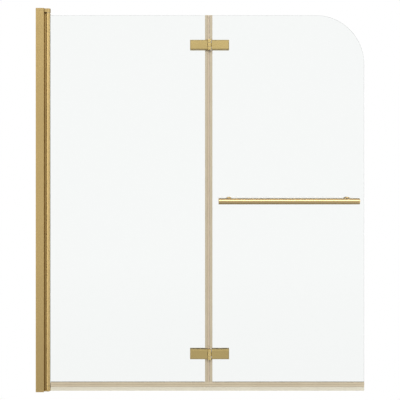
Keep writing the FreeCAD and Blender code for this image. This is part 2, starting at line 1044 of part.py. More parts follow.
def knuckle_washers():
    """Thin washers between the knuckles."""
    washers = []
    for z in hinge_heights:
        for way in (-1, 1):
            middle = z + way * (middle_knuckle / 2 + fit_gap + washer_thick / 2)
            low = middle - washer_thick / 2
            disc = fold_rod(washer_radius, low, low + washer_thick)
            washers.append(disc.cut(fold_rod(pin_radius + fit_gap, low, low + washer_thick)))
    return group(washers)


def bar_along(radius, x0, x1):
    """Round bar on the towel bar's axis."""
    return rod(radius, Vector(x0, -bar_depth, bar_height), Vector(x1, -bar_depth, bar_height))


def towel_bar_tube():
    """Tube of the towel bar, with a hole at each standoff for its threaded insert."""
    left = bar_left + bar_cap_thick
    right = bar_right - bar_cap_thick
    tube = bar_along(bar_radius, left, right)
    bore = bar_along(bar_radius - bar_wall, left, right)
    holes = []
    for x in standoff_places:
        holes.append(cross_rod(insert_radius + fit_gap, x, bar_height, -bar_depth, -glass_half))
    return tube.cut([bore] + holes)


def bar_end_caps():
    """Rounded caps pushed into both ends of the tube."""
    caps = []
    plug_radius_in_bar = bar_radius - bar_wall - fit_gap
    for end, way in ((bar_left, -1), (bar_right, 1)):
        corners = [
            (0, -bar_cap_plug, 0),
            (plug_radius_in_bar, -bar_cap_plug, 0),
            (plug_radius_in_bar, 0, 0),
            (bar_radius, 0, 0),
            (bar_radius, bar_cap_thick, bar_cap_round),
            (0, bar_cap_thick, 0),
        ]
        foot = Vector(end - way * bar_cap_thick, -bar_depth, bar_height)
        caps.append(turned(corners, foot, X_AXIS * way))
    return group(caps)


def bar_inserts():
    """Threaded inserts in the tube for the standoff screws."""
    inserts = []
    surface = -bar_depth + math.sqrt(bar_radius ** 2 - insert_radius ** 2)
    for x in standoff_places:
        body = cross_rod(insert_radius, x, bar_height, surface - insert_depth, surface)
        bore = cross_rod(
            hinge_screw_radius + fit_gap, x, bar_height, -bar_depth, surface + cut_over
        )
        inserts.append(body.cut(bore))
    return group(inserts)


def bar_standoffs():
    """Sleeves from the roses to the tube, saddled to the tube's curve."""
    standoffs = []
    foot = -glass_half - rose_pad_thick - rose_thick
    saddle = bar_along(bar_radius + fit_gap, 0, screen_width)
    for x in standoff_places:
        sleeve = cross_rod(standoff_radius, x, bar_height, -bar_depth, foot)
        bore = cross_rod(hinge_screw_radius + fit_gap, x, bar_height, -bar_depth, foot)
        standoffs.append(sleeve.cut([saddle, bore]))
    return group(standoffs)


def rose_places():
    """Foot of each rose on its pad, in front of the glass."""
    return [Vector(x, -glass_half - rose_pad_thick, bar_height) for x in standoff_places]


def bar_roses():
    """Round flanges in front of the glass."""
    roses = []
    bore = hinge_screw_radius + fit_gap
    corners = [
        (bore, 0, 0),
        (rose_radius, 0, 0),
        (rose_radius, rose_thick, rose_round),
        (bore, rose_thick, 0),
    ]
    for foot in rose_places():
        roses.append(turned(corners, foot, Y_AXIS * -1))
    return group(roses)


def rose_pads():
    """Soft washers on both faces of the glass."""
    pads = []
    radius = rose_radius - pad_inset
    for x in standoff_places:
        for way in (-1, 1):
            near = way * glass_half
            far = way * (glass_half + rose_pad_thick)
            disc = cross_rod(radius, x, bar_height, near, far)
            hole = cross_rod(glass_hole_radius, x, bar_height, near, far)
            pads.append(disc.cut(hole))
    return group(pads)


def standoff_screw(x, gap):
    """Long screw from the back flange through the glass into the towel bar, or its hole."""
    tip = -bar_depth + math.sqrt(bar_radius ** 2 - insert_radius ** 2) - insert_depth
    return countersunk(
        x,
        bar_height,
        glass_half + rose_pad_thick + rose_back_thick,
        tip,
        hinge_screw_radius,
        hinge_head_radius,
        hinge_head_height,
        gap,
    )


def standoff_screws():
    """The two screws that hold the towel bar."""
    face = glass_half + rose_pad_thick + rose_back_thick
    screws = []
    for x in standoff_places:
        screws.append(standoff_screw(x, 0).cut(hex_socket(x, bar_height, face, socket_depth)))
    return group(screws)


def back_flanges():
    """Round flanges behind the glass that the standoff screws pull on."""
    flanges = []
    corners = [
        (0, 0, 0),
        (rose_radius, 0, 0),
        (rose_radius, rose_back_thick, rose_round),
        (0, rose_back_thick, 0),
    ]
    for x in standoff_places:
        foot = Vector(x, glass_half + rose_pad_thick, bar_height)
        flanges.append(turned(corners, foot, Y_AXIS).cut(standoff_screw(x, fit_gap)))
    return group(flanges)


def back_cover_caps():
    """Domed covers over the standoff screws."""
    caps = []
    corners = [
        (0, 0, 0),
        (cover_cap_radius, 0, 0),
        (cover_cap_radius, cover_cap_thick, rose_round),
        (0, cover_cap_thick, 0),
    ]
    for x in standoff_places:
        foot = Vector(x, glass_half + rose_pad_thick + rose_back_thick, bar_height)
        caps.append(turned(corners, foot, Y_AXIS))
    return group(caps)


pieces = {
    "wall_channel": wall_channel(),
    "channel_top_cap": channel_top_cap(),
    "clamp_screws": clamp_screws(),
    "clamp_plates": clamp_plates(),
    "clamp_covers": clamp_covers(),
    "adjuster_profile": adjuster_profile(),
    "post_wiper_seal": post_wiper_seal(),
    "head_pivot_block": head_pivot_block(),
    "foot_pivot_block": foot_pivot_block(),
    "pivot_bushes": pivot_bushes(),
    "block_screws": block_screws(),
    "pivot_post": pivot_post(),
    "plug_grub_screws": plug_grub_screws(),
    "head_end_plug": head_end_plug(),
    "foot_end_plug": foot_end_plug(),
    "pivot_pins": pivot_pins(),
    "post_gasket": post_gasket(),
    "inner_glass": inner_glass(),
    "outer_glass": outer_glass(),
    "inner_fold_seal": inner_fold_seal(),
    "outer_fold_seal": outer_fold_seal(),
    "inner_bottom_seal": bottom_seal(inner_sweep_left, bulb_right),
    "outer_bottom_seal": bottom_seal(outer_seal_face, screen_width),
    "inner_drip_lip": drip_lip(inner_sweep_left, bulb_right),
    "outer_drip_lip": drip_lip(outer_seal_face, screen_width),
    "lower_inner_leaf": inner_leaf(hinge_heights[0]),
    "upper_inner_leaf": inner_leaf(hinge_heights[1]),
    "lower_outer_leaf": outer_leaf(hinge_heights[0]),
    "upper_outer_leaf": outer_leaf(hinge_heights[1]),
    "hinge_pins": hinge_pins(),
    "knuckle_washers": knuckle_washers(),
    "towel_bar_tube": towel_bar_tube(),
    "bar_end_caps": bar_end_caps(),
    "bar_inserts": bar_inserts(),
    "bar_standoffs": bar_standoffs(),
    "bar_roses": bar_roses(),
    "rose_pads": rose_pads(),
    "standoff_screws": standoff_screws(),
    "standoff_sleeves": hole_sleeves(
        [(x, bar_height) for x in standoff_places],
        glass_half + rose_pad_thick - fit_gap,
        hinge_screw_radius + fit_gap,
    ),
    "back_flanges": back_flanges(),
    "back_cover_caps": back_cover_caps(),
}
for side, centre in (("inner", inner_leaf_middle), ("outer", outer_leaf_middle)):
    pieces[side + "_back_plates"] = back_plates(centre)
    pieces[side + "_hinge_pads"] = hinge_pads(centre)
    pieces[side + "_hinge_sleeves"] = hinge_sleeves(centre)
    pieces[side + "_hinge_screws"] = hinge_screws(centre)

os.makedirs("parts", exist_ok=True)
for name, piece in pieces.items():
    piece.exportStep("parts/" + name + ".step")
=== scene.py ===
import json
import math

import bmesh
import bpy
from mathutils import Matrix, Vector


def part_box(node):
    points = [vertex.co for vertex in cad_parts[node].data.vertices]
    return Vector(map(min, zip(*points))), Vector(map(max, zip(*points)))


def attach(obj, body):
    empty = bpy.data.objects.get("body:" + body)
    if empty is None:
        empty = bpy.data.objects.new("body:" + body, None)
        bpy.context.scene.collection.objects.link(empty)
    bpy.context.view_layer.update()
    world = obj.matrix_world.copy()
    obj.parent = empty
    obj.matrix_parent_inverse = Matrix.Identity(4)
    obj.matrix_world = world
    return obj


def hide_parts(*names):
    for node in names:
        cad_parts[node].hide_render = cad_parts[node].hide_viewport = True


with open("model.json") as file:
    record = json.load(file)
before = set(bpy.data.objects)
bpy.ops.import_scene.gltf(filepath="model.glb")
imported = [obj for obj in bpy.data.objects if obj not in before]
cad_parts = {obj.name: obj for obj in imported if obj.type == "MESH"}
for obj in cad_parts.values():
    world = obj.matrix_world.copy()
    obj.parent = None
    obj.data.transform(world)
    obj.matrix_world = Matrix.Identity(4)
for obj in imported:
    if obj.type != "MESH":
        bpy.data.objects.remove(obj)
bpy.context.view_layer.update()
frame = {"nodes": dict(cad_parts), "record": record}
NODES = frame["nodes"]
BODY_OF = {node: body for body, nodes in frame["record"]["behaviour"]["bodies"].items() for node in nodes}
SLOT_OF = {row["node"]: row["material_slot"] for row in frame["record"]["subparts"]}

# Level camera in front of the screen, a little above its middle; metres, and rows of the picture
PICTURE_SIDE = 400
SENSOR_WIDTH = 36.0
LENS = 50.0
CAMERA_X = 0.5988
CAMERA_Y = -2.037
HORIZON_ROW = 156.0
FOOT_ROW = 392.2
FRONT_SCALE = 0.003643
CAMERA_Z = (FOOT_ROW - HORIZON_ROW) * FRONT_SCALE

# Floor in metres: its paint, then how bright it shows, and the distances over which that changes
FLOOR_Z = -1.9
FLOOR_REACH = 14.0
FLOOR_TONE = 0.45
FLOOR_DRIFT = 0.98
FLOOR_PATCHES = 0.5
FLOOR_MOTTLE = 8.0
FLOOR_ROUGHNESS = 0.9
FLOOR_GLOW = 0.5
FLOOR_FADE = (1.5, 4.0)
NEAR_FLOOR_SHINE = 0.7
NEAR_FLOOR_FADE = (3.0, 12.0)
UNDER_FLOOR_SHINE = 0.68
UNDER_FLOOR_FADE = (0.5, 2.5)
RIGHT_FLOOR_SHINE = 0.35
RIGHT_FLOOR_FADE = (4.0, 5.5)

# Sky: how bright each zone is, and the part of a direction over which the zone begins
LOW_LIGHT = 0.35
HIGH_LIGHT = 1.2
LIGHT_RISE = (-0.3, 0.9)
ZENITH_SHINE = 0.85
ZENITH_RISE = (0.7, 0.85)
CEILING_SHINE = 0.27
CEILING_RISE = (0.1, 0.3)
CEILING_BACK = (0.24, 0.5)
RIGHT_SIDE_ACROSS = (0.8, 0.92)
RIGHT_SIDE_FRONT = (-0.16, -0.08)

# Each noise is (scale, detail, roughness), or (detail, roughness) where a group sets its scale;
# each range is the part of the noise that is used
ALONG_X = (18.0, 4200.0, 4200.0)
ALONG_Z = (4200.0, 4200.0, 18.0)
LINE_NOISE = (1.0, 3.0, 0.65)
LINE_RANGE = (0.3, 0.7)
STREAK_NOISE = (0.21, 2.0, 0.5)
STREAK_RANGE = (0.35, 0.65)
PATCH_NOISE = (2.0, 0.5)
MOTTLE_NOISE = (3.0, 0.6)
PATCH_SHARE = 0.7
DRIFT_RANGE = (0.35, 0.65)
RUB_NOISE = (90.0, 3.0, 0.6)
RUB_RANGE = (0.35, 0.6)
WIPE_NOISE = (4.0, 0.62)
FILM_RANGE = (0.42, 0.7)
SPOT_RIM = (0.06, 0.12)
SPOT_RANGE = (0.55, 0.7)
DRAW_NOISE = (1.0, 2.0, 0.5)
DRAW_RANGE = (0.35, 0.65)
DRAW_SHARE = 0.6
PEEL_NOISE = (2.0, 0.5)

# Metal
LACQUER_ROUGHNESS = 0.06
LACQUER_IOR = 1.8
EDGE_RUB = 0.5
GLOSS_SWING = 0.06
GRAIN_STRENGTH = 0.12
GRAIN_DEPTH = 0.00004
STREAK_SHARE = 0.5

# Seals and rubber
PLASTIC_IOR = 1.5
SEAL_PATCHES = 14.0
SEAL_LINE_TINT = 0.18
SEAL_SWING = 0.1
SEAL_STRENGTH = 0.15
SEAL_DEPTH = 0.00006
# Depth of the seal's front face, and of the band behind it that takes the painted light and shade tone
SEAL_FACE = 0.0039
SEAL_SUNK = 0.0003
SEAL_FOOT = 0.0152
SEAL_FOOT_FADE = 0.0006
RUBBER_STRETCH = (400, 400, 400)
RUBBER_ROUGHNESS = 0.6
RUBBER_SWING = 0.15
RUBBER_STRENGTH = 0.3
RUBBER_DEPTH = 0.00005

# Glass
GLASS_IOR = 1.5
GLASS_FILM_SCALE = 3.5
GLASS_FILM_ROUGHNESS = 0.012
GLASS_SPOT_ROUGHNESS = 0.05
GROUND_EDGE_ROUGHNESS = 0.4
GROUND_EDGE_FACING = (0.3, 0.6)

# Meshes: soft edges and tolerances, in metres and radians
METAL_EDGE = 0.0003
FINE_EDGE = 0.00012
EDGE_SEGMENTS = 2
EDGE_PROFILE = 0.5
SHARP_EDGE = math.radians(28)
SMOOTH_SHADE = math.radians(40)
FLAT_ANGLE = math.radians(0.4)
FLAT_WEIGHT = 90
WELD = 1e-6
ON_AXIS = 1e-7
ROUND_STEPS = 96
ARC_STEPS = 8
DOME_STEPS = 6

# Towel bar and its roses, in metres
CAP_DOME = 0.0006
CAP_ROUND = 0.0012
CAP_BREAK_SHARE = 0.3
JOINT_LINE = 0.00025
JOINT_DEPTH = 0.0003
EDGE_BREAK = 0.0004
ROSE_ROUND = 0.0016
ROSE_STEP = 0.0009
ROSE_STEP_SHARE = 0.64
COLLAR_RISE = 0.0009
COLLAR_LENGTH = 0.0014
COLLAR_FILLET = 0.0006
COVER_CROWN_SHARE = 0.55

EDGE_BAND = "edge_band"
FLOAT = "NodeSocketFloat"
VECTOR = "NodeSocketVector"
COLOUR = "NodeSocketColor"
WHITE = (1, 1, 1, 1)
BLACK = (0, 0, 0, 1)

SOFTENED = [
    "adjuster_profile",
    "pivot_post",
    "inner_fold_seal",
    "outer_fold_seal",
    "inner_bottom_seal",
    "outer_bottom_seal",
    "inner_drip_lip",
    "outer_drip_lip",
    "lower_inner_leaf",
    "upper_inner_leaf",
    "lower_outer_leaf",
    "upper_outer_leaf",
    "wall_channel",
    "channel_top_cap",
    "clamp_covers",
    "head_pivot_block",
    "foot_pivot_block",
    "inner_back_plates",
    "outer_back_plates",
]
FINE_PARTS = [
    "clamp_screws",
    "block_screws",
    "inner_hinge_screws",
    "outer_hinge_screws",
    "hinge_pins",
    "knuckle_washers",
    "pivot_bushes",
]
FINISH_OF = {
    # Painted shade: the adjuster, seen in the groove beside the post, gets a darker gold
    "adjuster_profile": "painted_shade_gold",
    "inner_bottom_seal": "ribbed_seal",
    "outer_bottom_seal": "ribbed_seal",
    "towel_bar_tube": "lacquered_gold",
    "bar_end_caps": "lacquered_gold",
    "bar_standoffs": "lacquered_gold",
    "bar_roses": "lacquered_gold",
}


def link(obj):
    """Puts an object in the scene."""
    bpy.context.scene.collection.objects.link(obj)
    return obj


def make_camera():
    """Level camera whose shift puts the horizon where the photograph has it."""
    data = bpy.data.cameras.new("camera")
    data.lens = LENS
    data.sensor_width = SENSOR_WIDTH
    data.shift_y = (HORIZON_ROW - PICTURE_SIDE / 2) / PICTURE_SIDE
    camera = link(bpy.data.objects.new("camera", data))
    camera.location = (CAMERA_X, CAMERA_Y, CAMERA_Z)
    camera.rotation_euler = (math.pi / 2, 0, 0)
    bpy.context.scene.camera = camera


def srgb(r, g, b):
    """Linear colour of an 8-bit display colour."""
    channels = []
    for value in (r, g, b):
        share = value / 255
        channels.append(share / 12.92 if share <= 0.04045 else ((share + 0.055) / 1.055) ** 2.4)
    return (*channels, 1)


class Graph:
    """Short way to add and join nodes in one node tree."""

    def __init__(self, tree):
        self.tree = tree

    def add(self, kind, values=None, **settings):
        node = self.tree.nodes.new(kind)
        for name, value in settings.items():
            setattr(node, name, value)
        for socket, value in (values or {}).items():
            self.feed(node.inputs[socket], value)
        return node

    def feed(self, socket, value):
        if isinstance(value, bpy.types.NodeSocket):
            self.tree.links.new(value, socket)
        else:
            socket.default_value = value

    def math(self, operation, first, second=0.0, clamp=False):
        node = self.add("ShaderNodeMath", {0: first, 1: second}, operation=operation)
        node.use_clamp = clamp
        return node.outputs[0]

    def vector_math(self, operation, *vectors):
        return self.add("ShaderNodeVectorMath", dict(enumerate(vectors)), operation=operation).outputs

    def part(self, vector, axis):
        return self.add("ShaderNodeSeparateXYZ", {0: vector}).outputs[axis]

    def grey(self, level):
        return self.add("ShaderNodeCombineXYZ", {0: level, 1: level, 2: level}).outputs[0]

    def noise(self, vector, scale, detail, roughness):
        values = {"Vector": vector, "Scale": scale, "Detail": detail, "Roughness": roughness}
        return self.add("ShaderNodeTexNoise", values).outputs["Fac"]

    def spread(self, value, low, high, to_low=0.0, to_high=1.0):
        values = {0: value, 1: low, 2: high, 3: to_low, 4: to_high}
        return self.add("ShaderNodeMapRange", values).outputs[0]

    def blend(self, first, second, first_share):
        first = self.math("MULTIPLY", first, first_share)
        return self.math("ADD", first, self.math("MULTIPLY", second, 1 - first_share))

    def mix_colour(self, share, first, second):
        node = self.add("ShaderNodeMix", data_type="RGBA")
        self.feed(node.inputs["Factor"], share)
        self.feed(node.inputs[6], first)
        self.feed(node.inputs[7], second)
        return node.outputs[2]

    def relief(self, shader, strength, depth, height):
        bump = self.add("ShaderNodeBump", {"Strength": strength, "Distance": depth, "Height": height})
        self.feed(shader.inputs["Normal"], bump.outputs[0])

    def group(self, tree, values):
        node = self.add("ShaderNodeGroup")
        node.node_tree = tree
        for name, value in values.items():
            self.feed(node.inputs[name], value)
        return node.outputs


def new_group(name, inputs, outputs):
    """Empty shader group with named sockets; returns its graph, given values and results."""
    tree = bpy.data.node_groups.new(name, "ShaderNodeTree")
    for socket_name, kind, default in inputs:
        socket = tree.interface.new_socket(name=socket_name, in_out="INPUT", socket_type=kind)
        socket.default_value = default
    for socket_name, kind in outputs:
        tree.interface.new_socket(name=socket_name, in_out="OUTPUT", socket_type=kind)
    graph = Graph(tree)
    return graph, graph.add("NodeGroupInput").outputs, graph.add("NodeGroupOutput").inputs


def make_drawn_grain():
    """Fine lines left by drawing or brushing, long on one axis and short on the others."""
    graph, given, out = new_group(
        "drawn_grain",
        [("Position", VECTOR, (0, 0, 0)), ("Stretch", VECTOR, (1, 1, 1))],
        [("Lines", FLOAT), ("Streaks", FLOAT)],
    )
    stretched = graph.vector_math("MULTIPLY", given["Position"], given["Stretch"])["Vector"]
    graph.feed(out["Lines"], graph.spread(graph.noise(stretched, *LINE_NOISE), *LINE_RANGE))
    graph.feed(out["Streaks"], graph.spread(graph.noise(stretched, *STREAK_NOISE), *STREAK_RANGE))
    return graph.tree


def make_tone_drift():
    """Slow drift of a finish from one tone to another, with fine mottle in it."""
    graph, given, out = new_group(
        "tone_drift",
        [
            ("Position", VECTOR, (0, 0, 0)),
            ("Tone", COLOUR, WHITE),
            ("Second tone", COLOUR, WHITE),
            ("Patch scale", FLOAT, 6.0),
            ("Mottle scale", FLOAT, 180.0),
        ],
        [("Colour", COLOUR)],
    )
    patches = graph.noise(given["Position"], given["Patch scale"], *PATCH_NOISE)
    mottle = graph.noise(given["Position"], given["Mottle scale"], *MOTTLE_NOISE)
    share = graph.spread(graph.blend(patches, mottle, PATCH_SHARE), *DRIFT_RANGE)
    graph.feed(out["Colour"], graph.mix_colour(share, given["Tone"], given["Second tone"]))
    return graph.tree


def make_edge_rub():
    """Where a softened edge is rubbed a little brighter."""
    graph, given, out = new_group(
        "edge_rub",
        [
            ("Position", VECTOR, (0, 0, 0)),
            ("Colour", COLOUR, WHITE),
            ("Rubbed colour", COLOUR, WHITE),
            ("Amount", FLOAT, EDGE_RUB),
        ],
        [("Colour", COLOUR), ("Rub", FLOAT)],
    )
    band = graph.add("ShaderNodeAttribute", attribute_name=EDGE_BAND).outputs["Fac"]
    broken = graph.spread(graph.noise(given["Position"], *RUB_NOISE), *RUB_RANGE)
    rub = graph.math("MULTIPLY", graph.math("MULTIPLY", band, broken), given["Amount"], True)
    graph.feed(out["Colour"], graph.mix_colour(rub, given["Colour"], given["Rubbed colour"]))
    graph.feed(out["Rub"], rub)
    return graph.tree


def make_handling_film():
    """Faint wiped film and water marks: where a surface is a little less glossy."""
    graph, given, out = new_group(
        "handling_film",
        [("Position", VECTOR, (0, 0, 0)), ("Film scale", FLOAT, 7.0), ("Spot scale", FLOAT, 120.0)],
        [("Film", FLOAT), ("Spots", FLOAT)],
    )
    wiped = graph.noise(given["Position"], given["Film scale"], *WIPE_NOISE)
    graph.feed(out["Film"], graph.spread(wiped, *FILM_RANGE))
    cells = {"Vector": given["Position"], "Scale": given["Spot scale"]}
    spots = graph.add("ShaderNodeTexVoronoi", cells).outputs["Distance"]
    rings = graph.spread(spots, *SPOT_RIM, 1.0, 0.0)
    graph.feed(out["Spots"], graph.math("MULTIPLY", rings, graph.spread(wiped, *SPOT_RANGE)))
    return graph.tree


def make_soft_skin():
    """Skin of an extruded soft seal: draw lines along it and a faint orange peel."""
    graph, given, out = new_group(
        "soft_skin",
        [("Position", VECTOR, (0, 0, 0)), ("Stretch", VECTOR, (1, 1, 1)), ("Peel scale", FLOAT, 900.0)],
        [("Height", FLOAT), ("Lines", FLOAT)],
    )
    stretched = graph.vector_math("MULTIPLY", given["Position"], given["Stretch"])["Vector"]
    lines = graph.noise(stretched, *DRAW_NOISE)
    peel = graph.noise(given["Position"], given["Peel scale"], *PEEL_NOISE)
    graph.feed(out["Height"], graph.blend(lines, peel, DRAW_SHARE))
    graph.feed(out["Lines"], graph.spread(lines, *DRAW_RANGE))
    return graph.tree


GRAIN = make_drawn_grain()
DRIFT = make_tone_drift()
RUB = make_edge_rub()
FILM = make_handling_film()
SKIN = make_soft_skin()


def start_material(name):
    """New material with its shader and output; returns the graph, shader and object position."""
    material = bpy.data.materials.new(name)
    material.use_nodes = True
    material.node_tree.nodes.clear()
    graph = Graph(material.node_tree)
    shader = graph.add("ShaderNodeBsdfPrincipled")
    output = graph.add("ShaderNodeOutputMaterial")
    graph.feed(output.inputs["Surface"], shader.outputs[0])
    position = graph.add("ShaderNodeTexCoord").outputs["Object"]
    return material, graph, shader, position


def metal(name, tone, second, rubbed, roughness, stretch, lacquer=0.0):
    """Drawn or brushed metal finish with tone drift, rubbed edges and a handling film."""
    material, graph, shader, position = start_material(name)
    grain = graph.group(GRAIN, {"Position": position, "Stretch": stretch})
    drift = graph.group(DRIFT, {"Position": position, "Tone": tone, "Second tone": second})
    worn = {"Position": position, "Colour": drift["Colour"], "Rubbed colour": rubbed, "Amount": EDGE_RUB}
    edge = graph.group(RUB, worn)
    film = graph.group(FILM, {"Position": position})
    shader.inputs["Metallic"].default_value = 1.0
    shader.inputs["Coat Weight"].default_value = lacquer
    shader.inputs["Coat Roughness"].default_value = LACQUER_ROUGHNESS
    shader.inputs["Coat IOR"].default_value = LACQUER_IOR
    graph.feed(shader.inputs["Base Color"], edge["Colour"])
    half_swing = GLOSS_SWING / 2
    gloss = graph.spread(grain["Lines"], 0, 1, roughness - half_swing, roughness + half_swing)
    marks = graph.math("MULTIPLY", film["Film"], GLOSS_SWING)
    polish = graph.math("MULTIPLY", edge["Rub"], GLOSS_SWING)
    total = graph.math("SUBTRACT", graph.math("ADD", gloss, marks), polish, True)
    graph.feed(shader.inputs["Roughness"], total)
    height = graph.math("ADD", grain["Lines"], graph.math("MULTIPLY", grain["Streaks"], STREAK_SHARE))
    graph.relief(shader, GRAIN_STRENGTH, GRAIN_DEPTH, height)
    return material


def soft_plastic(
    name, tone, second, roughness, stretch, transmission=0.0, painted_recess_tone=None, painted_recess_share=0.0, foot_tone=None
):
    """Soft extruded plastic, tinted in the mass, with a skin; its recesses can take a tone of painted light
    and shade, and its foot a tone of its own.
    """
    material, graph, shader, position = start_material(name)
    skin = graph.group(SKIN, {"Position": position, "Stretch": stretch})
    drift = graph.group(
        DRIFT,
        {"Position": position, "Tone": tone, "Second tone": second, "Patch scale": SEAL_PATCHES},
    )
    shade = graph.mix_colour(graph.math("MULTIPLY", skin["Lines"], SEAL_LINE_TINT), drift["Colour"], second)
    # Painted light and shade: faces set back from the seal's front face get their own tone, lighter on the
    # fold seals' bulb and darker in the bottom seals' grooves
    if painted_recess_tone:
        depth = graph.math("ABSOLUTE", graph.part(position, "Y"))
        painted_recess = graph.spread(depth, SEAL_FACE - SEAL_SUNK, SEAL_FACE, painted_recess_share, 0.0)
        shade = graph.mix_colour(painted_recess, shade, painted_recess_tone)
    if foot_tone:
        level = graph.part(position, "Z")
        foot = graph.spread(level, SEAL_FOOT, SEAL_FOOT + SEAL_FOOT_FADE, 1.0, 0.0)
        shade = graph.mix_colour(foot, shade, foot_tone)
    graph.feed(shader.inputs["Base Color"], shade)
    shader.inputs["Transmission Weight"].default_value = transmission
    shader.inputs["IOR"].default_value = PLASTIC_IOR
    gloss = graph.spread(skin["Lines"], 0, 1, roughness, roughness + SEAL_SWING)
    graph.feed(shader.inputs["Roughness"], gloss)
    graph.relief(shader, SEAL_STRENGTH, SEAL_DEPTH, skin["Height"])
    return material


def glass(name, tone, edge_tone):
    """Clear toughened glass; its ground edges are greener and duller than its faces."""
    material, graph, shader, position = start_material(name)
    normal = graph.add("ShaderNodeTexCoord").outputs["Normal"]
    facing = graph.math("ABSOLUTE", graph.part(normal, "Y"))
    on_edge = graph.spread(facing, *GROUND_EDGE_FACING, 1.0, 0.0)
    film = graph.group(FILM, {"Position": position, "Film scale": GLASS_FILM_SCALE})
    graph.feed(shader.inputs["Base Color"], graph.mix_colour(on_edge, tone, edge_tone))
    shader.inputs["Metallic"].default_value = 0.0
    shader.inputs["Transmission Weight"].default_value = 1.0
    shader.inputs["IOR"].default_value = GLASS_IOR
    wiped = graph.math("MULTIPLY", film["Film"], GLASS_FILM_ROUGHNESS)
    spots = graph.math("MULTIPLY", film["Spots"], GLASS_SPOT_ROUGHNESS)
    ground = graph.math("MULTIPLY", on_edge, GROUND_EDGE_ROUGHNESS)
    graph.feed(shader.inputs["Roughness"], graph.math("ADD", graph.math("ADD", wiped, spots), ground))
    return material


def rubber(name, tone, second):
    """Dark moulded rubber of the pads and gaskets."""
    material, graph, shader, position = start_material(name)
    skin = graph.group(SKIN, {"Position": position, "Stretch": RUBBER_STRETCH})
    drift = graph.group(DRIFT, {"Position": position, "Tone": tone, "Second tone": second})
    graph.feed(shader.inputs["Base Color"], drift["Colour"])
    gloss = graph.spread(skin["Lines"], 0, 1, RUBBER_ROUGHNESS, RUBBER_ROUGHNESS + RUBBER_SWING)
    graph.feed(shader.inputs["Roughness"], gloss)
    graph.relief(shader, RUBBER_STRENGTH, RUBBER_DEPTH, skin["Height"])
    return material


def make_finishes():
    """Every finish of the part, by name."""
    metals = {
        "gold_anodised": {
            "tone": srgb(187, 162, 109),
            "second": srgb(183, 158, 106),
            "rubbed": srgb(206, 182, 130),
            "roughness": 0.23,
            "stretch": ALONG_Z,
        },
        # Painted shade: a darker copy of the anodised gold, for the adjuster in its groove
        "painted_shade_gold": {
            "tone": srgb(164, 138, 88),
            "second": srgb(158, 133, 84),
            "rubbed": srgb(182, 156, 104),
            "roughness": 0.32,
            "stretch": ALONG_Z,
        },
        "gold_plated": {
            "tone": srgb(192, 171, 115),
            "second": srgb(188, 166, 111),
            "rubbed": srgb(214, 194, 140),
            "roughness": 0.24,
            "stretch": ALONG_X,
        },
        "lacquered_gold": {
            "tone": srgb(184, 157, 99),
            "second": srgb(180, 152, 95),
            "rubbed": srgb(208, 184, 130),
            "roughness": 0.13,
            "stretch": ALONG_X,
            "lacquer": 1.0,
        },
        "stainless": {
            "tone": srgb(186, 184, 178),
            "second": srgb(178, 176, 170),
            "rubbed": srgb(205, 203, 198),
            "roughness": 0.28,
            "stretch": ALONG_Z,
        },
    }
    plastics = {
        "tinted_seal": {
            "tone": srgb(200, 187, 161),
            "second": srgb(193, 180, 153),
            "roughness": 0.42,
            "stretch": ALONG_Z,
            # Painted light: the seal's recessed bulb is made lighter than its face
            "painted_recess_tone": srgb(211, 195, 171),
            "painted_recess_share": 1.0,
        },
        "ribbed_seal": {
            "tone": srgb(212, 198, 170),
            "second": srgb(206, 191, 163),
            "roughness": 0.42,
            "stretch": ALONG_X,
            # Painted shade: the grooves behind the seal's face are made much darker
            "painted_recess_tone": srgb(128, 114, 90),
            "painted_recess_share": 0.6,
            "foot_tone": srgb(246, 240, 222),
        },
        "clear_seal": {
            "tone": srgb(242, 236, 216),
            "second": srgb(236, 229, 208),
            "roughness": 0.2,
            "stretch": ALONG_X,
            "transmission": 0.15,
        },
        "nylon": {
            "tone": srgb(220, 218, 210),
            "second": srgb(212, 210, 202),
            "roughness": 0.45,
            "stretch": ALONG_Z,
        },
    }
    finishes = {name: metal(name, **look) for name, look in metals.items()}
    finishes.update((name, soft_plastic(name, **look)) for name, look in plastics.items())
    finishes["clear_glass"] = glass("clear_glass", srgb(246, 248, 247), srgb(242, 247, 245))
    finishes["dark_rubber"] = rubber("dark_rubber", srgb(46, 44, 42), srgb(38, 36, 34))
    return finishes


FINISHES = make_finishes()


def finish_for(node):
    """The finish that a node's pieces are given."""
    return FINISHES[FINISH_OF.get(node, SLOT_OF[node])]


def finish_piece(name, bm, node, edge=0.0, also=()):
    """Softens the sharp edges of a mesh and puts it in the scene in place of its node."""
    bmesh.ops.recalc_face_normals(bm, faces=bm.faces)
    band = bm.faces.layers.float.new(EDGE_BAND)
    if edge > 0:
        sharp = [e for e in bm.edges if len(e.link_faces) == 2 and e.calc_face_angle() > SHARP_EDGE]
        made = bmesh.ops.bevel(
            bm,
            geom=sharp,
            offset=edge,
            offset_type="OFFSET",
            segments=EDGE_SEGMENTS,
            profile=EDGE_PROFILE,
            affect="EDGES",
            clamp_overlap=True,
        )
        for face in made["faces"]:
            face[band] = 1.0
    mesh = bpy.data.meshes.new(name)
    bm.to_mesh(mesh)
    bm.free()
    mesh.shade_smooth()
    mesh.set_sharp_from_angle(angle=SMOOTH_SHADE)
    mesh.materials.append(finish_for(node))
    piece = link(bpy.data.objects.new(name, mesh))
    weighted = piece.modifiers.new("flat_faces", "WEIGHTED_NORMAL")
    weighted.keep_sharp = True
    weighted.weight = FLAT_WEIGHT
    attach(piece, BODY_OF[node])
    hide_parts(node, *also)


def softened(node, edge=METAL_EDGE):
    """The node's own solid with its edges softened."""
    bm = bmesh.new()
    bm.from_mesh(NODES[node].data)
    bmesh.ops.remove_doubles(bm, verts=bm.verts, dist=WELD)
    bmesh.ops.dissolve_limit(bm, angle_limit=FLAT_ANGLE, verts=bm.verts, edges=bm.edges)
    finish_piece(node + "_softened", bm, node, edge)


